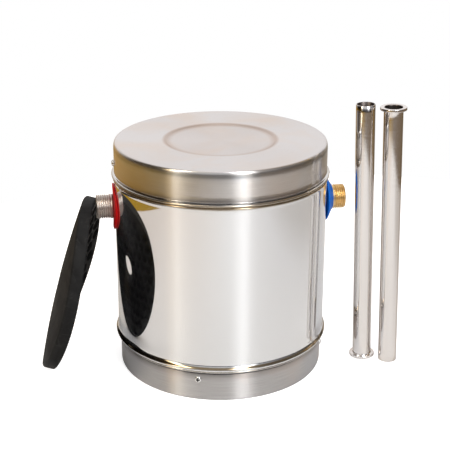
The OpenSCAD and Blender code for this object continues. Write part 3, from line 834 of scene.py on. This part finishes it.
def flanged_tube(name, upside_down):
    inner = TUBE_R - TUBE_WALL
    edge = 0.5 * MM
    profile = arc(inner + edge * 2, edge * 2, edge * 2, edge * 2, 180, 270, 5)
    profile += [(FLANGE_R - edge * 2, 0)]
    profile += arc(FLANGE_R - edge, edge, edge, edge, -90, 0, 5)
    profile += arc(FLANGE_R - edge, FLANGE_T - edge, edge, edge, 0, 90, 5)
    profile += arc(TUBE_R + edge, FLANGE_T + edge, edge, edge, 270, 180, 4)
    profile += column((TUBE_R, FLANGE_T + edge), (TUBE_R, TUBE_LEN - 0.2 * MM), 40)
    profile += [(TUBE_R, TUBE_LEN - 0.2 * MM), (TUBE_R - 0.2 * MM, TUBE_LEN)]
    profile += [(inner + 0.2 * MM, TUBE_LEN), (inner, TUBE_LEN - 0.2 * MM)]
    profile += column((inner, TUBE_LEN - 0.2 * MM), (inner, edge * 2), 20)
    bm = bmesh.new()
    lathe(bm, profile, 96)
    # Faces inside the bore take the second material, painted shade.
    for face in bm.faces:
        middle = face.calc_center_median()
        if math.hypot(middle.x, middle.y) < TUBE_R - 0.5 * MM:
            face.material_index = 1
    lean = Matrix.Rotation(TUBE_TURN, 4, "Z") @ Matrix.Rotation(-TUBE_LEAN, 4, "Y")
    if upside_down:
        lean = lean @ Matrix.Rotation(math.pi, 4, "X")
    bmesh.ops.transform(bm, matrix=lean, verts=bm.verts)
    made = mesh_object(name, bm, tube_painted_reflections)
    made.data.materials.append(tube_inside_painted_shade)
    return made


for name, cad_node, body, upside_down in (
        ("near_tube", "flanged_tube_a", "tube_a", False), ("far_tube", "flanged_tube_b", "tube_b", True)):
    tube = onto_box(flanged_tube(name, upside_down), cad_node)
    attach(tube, body)
    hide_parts(cad_node)


# ---------------------------------------------------------------- rubber disc
# A loose moulded rubber disc with a hole through its middle and rows of blind pockets on
# the face towards the canister. It leans on the hot nipple, and its sides have curled.
DISC_R = 76 * MM
DISC_T = 10 * MM
DISC_CURL = 13 * MM
DISC_BOW = 3.5 * MM
DISC_LEAN = math.radians(15.5)
DISC_TURN = math.radians(-7.5)
DISC_HOLE_R = 13.5 * MM
POCKET_R = 5.25 * MM
POCKET_PITCH = 13 * MM
POCKET_DEEP = 5 * MM
POCKET_RIM = 7 * MM
ROUND_EDGE = 1.1 * MM
BACK_EDGE = 2.2 * MM


def pocket_centres():
    centres = []
    row_step = POCKET_PITCH * math.sin(math.pi / 3)
    rows = math.ceil(DISC_R / row_step)
    for row in range(-rows, rows + 1):
        for i in range(-rows - 1, rows + 2):
            x, y = row * row_step, (i + 0.5 * (row % 2)) * POCKET_PITCH
            if DISC_HOLE_R + POCKET_RIM < math.hypot(x, y) < DISC_R - POCKET_RIM:
                centres.append((x, y))
    return centres


def flat_sheet(loops, spacing):
    """Triangles over a round face with holes: their points, and the triangles."""
    points, edges = [], []
    for loop in loops:
        start = len(points)
        points += loop
        edges += [(start + i, start + (i + 1) % len(loop)) for i in range(len(loop))]
    steps = int(DISC_R / spacing)
    for i in range(-steps, steps + 1):
        for j in range(-steps, steps + 1):
            x, y = (i + 0.5 * (j % 2)) * spacing, j * spacing * 0.866
            if math.hypot(x, y) < DISC_R - ROUND_EDGE - spacing * 0.6:
                points.append((x, y))
    result = delaunay_2d_cdt([Vector(p) for p in points], edges, [], 0, 1e-6)
    return result[0], result[2]


def disc_face(bm, loops, spacing, height):
    """A flat face at a height with holes where the loops after the first one are."""
    verts, triangles = flat_sheet(loops, spacing)
    made = [bm.verts.new((v.x, v.y, height)) for v in verts]
    holes = []
    for loop in loops[1:]:
        middle = Vector((sum(p[0] for p in loop) / len(loop), sum(p[1] for p in loop) / len(loop)))
        holes.append((middle, (Vector(loop[0]) - middle).length))
    for triangle in triangles:
        centre = sum((verts[i] for i in triangle), Vector((0, 0))) / 3
        in_hole = any((centre - middle).length < radius * 0.985 for middle, radius in holes)
        if centre.length > DISC_R or in_hole:
            continue
        bm.faces.new([made[i] for i in triangle])


def wall_of_rings(bm, x, y, profile, count, cap=False):
    """Rings about (x, y) through a profile of (radius, height), with a flat end if cap."""
    loops = [[bm.verts.new((px, py, height)) for px, py in circle_points(x, y, radius, count)]
             for radius, height in profile]
    skin(bm, loops)
    if cap:
        bm.faces.new(loops[-1])


def curl_and_lean(point):
    """Curls a point of the flat disc to its sides and bows it to its ends, then leans the disc."""
    curl_r, bow_r = DISC_R ** 2 / (2 * DISC_CURL), DISC_R ** 2 / (2 * DISC_BOW)
    lift = curl_r - math.sqrt(curl_r ** 2 - point.y ** 2)
    lift += bow_r - math.sqrt(bow_r ** 2 - point.x ** 2)
    lean = Matrix.Rotation(DISC_TURN, 4, "Z") @ Matrix.Rotation(math.pi / 2 + DISC_LEAN, 4, "Y")
    return lean @ Vector((point.x, point.y, point.z + lift))


def rubber():
    material, tree, shader = new_material("disc_rubber", Specular_IOR_Level=0.1)
    place = object_place(tree)
    cloud = noise(tree, place, 28, Detail=5, Roughness=0.6, Distortion=0.8)
    grain = noise(tree, place, 850, Detail=4)
    scuffs = noise(tree, place, 130, Detail=3, Distortion=2.0)
    base = ramp(tree, cloud, [(0.3, (0.010, 0.010, 0.0104)), (0.7, (0.022, 0.022, 0.0228))])
    pale = ramp(tree, scuffs, [(0.58, 0), (0.72, 0.30)])
    set_inputs(tree, shader, Base_Color=mix_colours(tree, pale, base, (0.045, 0.044, 0.043, 1)),
               Roughness=ramp(tree, cloud, [(0.3, 0.80), (0.7, 0.62)]),
               Normal=bumps(tree, grain, 0.35, 0.0002))
    return material


def pocketed_disc():
    half = DISC_T / 2
    chamfer = 0.4 * MM
    bm = bmesh.new()
    rim = circle_points(0, 0, DISC_R - ROUND_EDGE, 256)
    back_rim = circle_points(0, 0, DISC_R - BACK_EDGE, 256)
    hole = circle_points(0, 0, DISC_HOLE_R + chamfer, 64)
    pockets = [circle_points(x, y, POCKET_R + chamfer, 32) for x, y in pocket_centres()]
    disc_face(bm, [rim, hole] + pockets, 5 * MM, half)
    disc_face(bm, [back_rim, hole], 5 * MM, -half)
    edge = arc(DISC_R - ROUND_EDGE, half - ROUND_EDGE, ROUND_EDGE, ROUND_EDGE, 90, 0, 5)
    edge += column((DISC_R, half - ROUND_EDGE), (DISC_R, BACK_EDGE - half), 4)
    edge += arc(DISC_R - BACK_EDGE, BACK_EDGE - half, BACK_EDGE, BACK_EDGE, 0, -90, 8)
    wall_of_rings(bm, 0, 0, edge, 256)
    wall_of_rings(bm, 0, 0, [(DISC_HOLE_R + chamfer, half), (DISC_HOLE_R, half - chamfer),
                             (DISC_HOLE_R, chamfer - half), (DISC_HOLE_R + chamfer, -half)], 64)
    for x, y in pocket_centres():
        wall_of_rings(bm, x, y, [(POCKET_R + chamfer, half), (POCKET_R + 0.1 * MM, half - 0.15 * MM),
                                 (POCKET_R, half - chamfer), (POCKET_R, half - POCKET_DEEP + 0.5 * MM),
                                 (POCKET_R - 0.5 * MM, half - POCKET_DEEP)], 32, cap=True)
    bmesh.ops.remove_doubles(bm, verts=bm.verts, dist=0.01 * MM)
    for vert in bm.verts:
        vert.co = curl_and_lean(vert.co)
    return mesh_object("pocketed_rubber_disc", bm, rubber())


disc = onto_box(pocketed_disc(), "rubber_disc")
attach(disc, "disc")
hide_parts("rubber_disc")


# ---------------------------------------------------------------- hidden pieces
# Inside the covers: a welded stainless vessel in foam, a filter screen around the dry
# magnet pocket, the ring magnets on their rod, port bosses, seals and a brass drain plug.
def finish_nodes(material, names):
    """Gives a finish to CAD pieces that are shown as they are."""
    for name in names:
        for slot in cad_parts[name].material_slots:
            slot.material = material


def noisy_finish(name, low, high, scale, rough, metallic, bump_by, stretch_by=(1, 1, 1)):
    """A finish with two colours mixed by a noise that also sets its roughness and its bump."""
    material, tree, shader = new_material(name, Metallic=metallic)
    grain = noise(tree, stretched(tree, object_place(tree), stretch_by), scale, Detail=4)
    set_inputs(tree, shader, Base_Color=ramp(tree, grain, [(0.3, low), (0.7, high)]),
               Roughness=ramp(tree, grain, [(0.3, rough + 0.08), (0.7, rough - 0.06)]),
               Normal=bumps(tree, grain, bump_by, 0.0003))
    return material


def foam():
    """Cream foam with open cells."""
    material, tree, shader = new_material("foam_cells", Roughness=0.9)
    cells = node(tree, "ShaderNodeTexVoronoi", Vector=object_place(tree), Scale=520).outputs["Distance"]
    set_inputs(tree, shader, Normal=bumps(tree, cells, 0.6, 0.0006),
               Base_Color=ramp(tree, cells, [(0.0, (0.36, 0.27, 0.14)), (0.55, (0.66, 0.55, 0.34))]))
    return material


finish_nodes(
    noisy_finish("vessel_sheet", (0.42, 0.41, 0.40), (0.62, 0.61, 0.60), 260, 0.36, 1, 0.06, (1, 1, 5)),
    ["vessel_shell", "vessel_floor", "vessel_roof", "magnet_pocket", "inlet_tube"])
finish_nodes(foam(), ["insulation_sleeve", "insulation_floor", "insulation_roof"])
finish_nodes(
    noisy_finish("boss_turned", (0.36, 0.34, 0.32), (0.58, 0.56, 0.54), 420, 0.30, 1, 0.08),
    ["hot_boss", "cold_boss", "drain_boss", "filter_screen", "screen_cap_upper", "screen_cap_lower",
     "magnet_core", "magnet_spacer"])
finish_nodes(
    noisy_finish("seal_rubber", (0.016, 0.016, 0.016), (0.035, 0.034, 0.033), 700, 0.62, 0, 0.3),
    ["hot_seal", "cold_seal", "drain_seal", "cover_seal"])
finish_nodes(
    noisy_finish("plug_brass", (0.50, 0.32, 0.11), (0.80, 0.57, 0.24), 380, 0.28, 1, 0.08),
    ["drain_plug"])
finish_nodes(
    noisy_finish("ferrite", (0.030, 0.029, 0.030), (0.075, 0.073, 0.072), 900, 0.55, 0.3, 0.3),
    ["magnet_rings"])
finish_nodes(
    noisy_finish("pole_plate", (0.45, 0.45, 0.46), (0.66, 0.66, 0.67), 500, 0.26, 1, 0.06),
    ["magnet_carrier", "pole_rings"])
finish_nodes(screw_finish, ["magnet_end_nut"])
